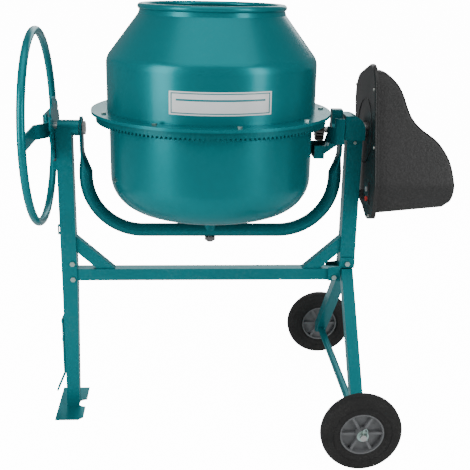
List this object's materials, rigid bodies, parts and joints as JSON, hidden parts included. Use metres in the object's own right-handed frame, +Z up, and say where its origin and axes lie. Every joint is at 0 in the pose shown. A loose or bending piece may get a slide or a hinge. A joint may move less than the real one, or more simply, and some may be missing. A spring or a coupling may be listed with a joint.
{
  "type": "concrete mixer",
  "caption": "Tilting concrete mixer: a two-part steel drum in a U-shaped yoke on a two-wheeled stand, with a ring gear drive, handwheel and tilt lock pedal.",
  "frame": {"origin": "on the floor, below the middle of the whole machine", "axes": "+Z up, +X from the handwheel side towards the motor side, so the drum faces up and the viewer stands on the -Y side"},
  "size_m": [1.3066, 0.9108, 1.365],
  "materials": {
    "painted frame": "satin turquoise paint",
    "painted drum": "gloss turquoise paint",
    "painted yoke": "satin turquoise paint",
    "zinc steel": "zinc plated",
    "bright steel": "ground",
    "dark steel": "oiled",
    "spring steel": "oiled",
    "cast ring": "cast, grey",
    "cast bracket": "cast, painted turquoise",
    "bronze": "sintered",
    "tyre rubber": "solid rubber",
    "seal rubber": "matt",
    "belt rubber": "matt",
    "rim plastic": "moulded grey",
    "housing plastic": "textured black",
    "fan plastic": "moulded",
    "motor casting": "cast",
    "winding": "enamelled copper and steel",
    "switch plastic": "moulded",
    "grey button": "moulded",
    "red button": "moulded",
    "capacitor can": "drawn"
  },
  "bodies": {
    "stand": {"foot_plate": "painted frame", "left_leg": "painted frame", "left_upright": "painted frame", "right_upright": "painted frame", "joint_plates": "painted frame", "cross_rail": "painted frame", "corner_braces": "painted frame", "frame_bolts": "zinc steel", "wheel_legs": "painted frame", "axle": "bright steel", "wheel_retainers": "zinc steel", "tilt_bearings": "bronze", "lock_guides": "painted frame", "lock_spring": "spring steel", "bearing_hood": "painted frame"},
    "yoke_unit": {"trunnions": "bright steel", "lock_disc": "painted frame", "handwheel_ring": "painted frame", "handwheel_spoke": "painted frame", "yoke": "painted yoke", "pivot_housing": "painted yoke", "bearing_outer_rings": "bright steel", "bearing_cages": "bright steel", "pinion_bracket": "cast bracket", "pinion_guard": "painted yoke", "motor_back": "housing plastic", "motor_cover": "housing plastic", "motor_plates": "dark steel", "housing_fasteners": "zinc steel", "motor_housing": "motor casting", "motor_stator": "winding", "capacitor": "capacitor can", "switch_body": "switch plastic", "power_inlet": "switch plastic", "drive_belt": "belt rubber"},
    "drum": {"lower_drum": "painted drum", "upper_drum": "painted drum", "drum_collar": "painted drum", "drum_seal": "seal rubber", "drum_fasteners": "zinc steel", "mixing_blades": "painted drum", "drum_spindle": "dark steel", "ring_gear": "cast ring", "pivot_inner_rings": "bright steel"},
    "drive_line": {"pinion": "dark steel", "drive_shaft": "bright steel", "large_pulley": "fan plastic", "shaft_inner_rings": "bright steel"},
    "motor_shaft": {"motor_rotor": "dark steel", "motor_fan": "fan plastic", "motor_pulley": "motor casting"},
    "front_wheel": {"front_tyre": "tyre rubber", "front_rim": "rim plastic"},
    "rear_wheel": {"rear_tyre": "tyre rubber", "rear_rim": "rim plastic"},
    "lock": {"lock_rod": "bright steel", "lock_plunger": "dark steel", "lock_pedal": "painted frame"},
    "on_button": {"on_button": "grey button"},
    "off_button": {"off_button": "red button"}
  },
  "joints": [
    {"name": "tilt", "type": "hinge", "parent": "stand", "child": "yoke_unit", "pos_m": [0, 0, 0.98], "axis": [1, 0, 0], "range_deg": [-120, 120]},
    {"name": "drum_spin", "type": "hinge", "parent": "yoke_unit", "child": "drum", "pos_m": [-0.09975, 0, 0.98], "axis": [0, 0, 1], "continuous": true},
    {"name": "drive_spin", "type": "hinge", "parent": "yoke_unit", "child": "drive_line", "pos_m": [0.30025, 0, 0.98], "axis": [1, 0, 0], "continuous": true},
    {"name": "motor_spin", "type": "hinge", "parent": "yoke_unit", "child": "motor_shaft", "pos_m": [0.50025, -0.08203, 0.81474], "axis": [1, 0, 0], "continuous": true},
    {"name": "front_wheel_spin", "type": "hinge", "parent": "stand", "child": "front_wheel", "pos_m": [0.35475, -0.4125, 0.1255], "axis": [0, 1, 0], "continuous": true},
    {"name": "rear_wheel_spin", "type": "hinge", "parent": "stand", "child": "rear_wheel", "pos_m": [0.35475, 0.4125, 0.1255], "axis": [0, 1, 0], "continuous": true},
    {"name": "lock_pedal_slide", "type": "slide", "parent": "stand", "child": "lock", "axis": [0, 0, 1], "range_m": [-0.025, 0], "stiffness_N_per_m": 900, "springref_m": 0.02, "deforming": ["lock_spring"]},
    {"name": "on_button_press", "type": "slide", "parent": "yoke_unit", "child": "on_button", "axis": [1, 0, 0], "range_m": [0, 0.004], "stiffness_N_per_m": 400, "springref_m": -0.002},
    {"name": "off_button_press", "type": "slide", "parent": "yoke_unit", "child": "off_button", "axis": [1, 0, 0], "range_m": [0, 0.004], "stiffness_N_per_m": 400, "springref_m": -0.002}
  ],
  "couplings": [
    {"joint": "drive_spin", "follows": "drum_spin", "ratio": -10.8},
    {"joint": "motor_spin", "follows": "drum_spin", "ratio": -79.65}
  ]
}
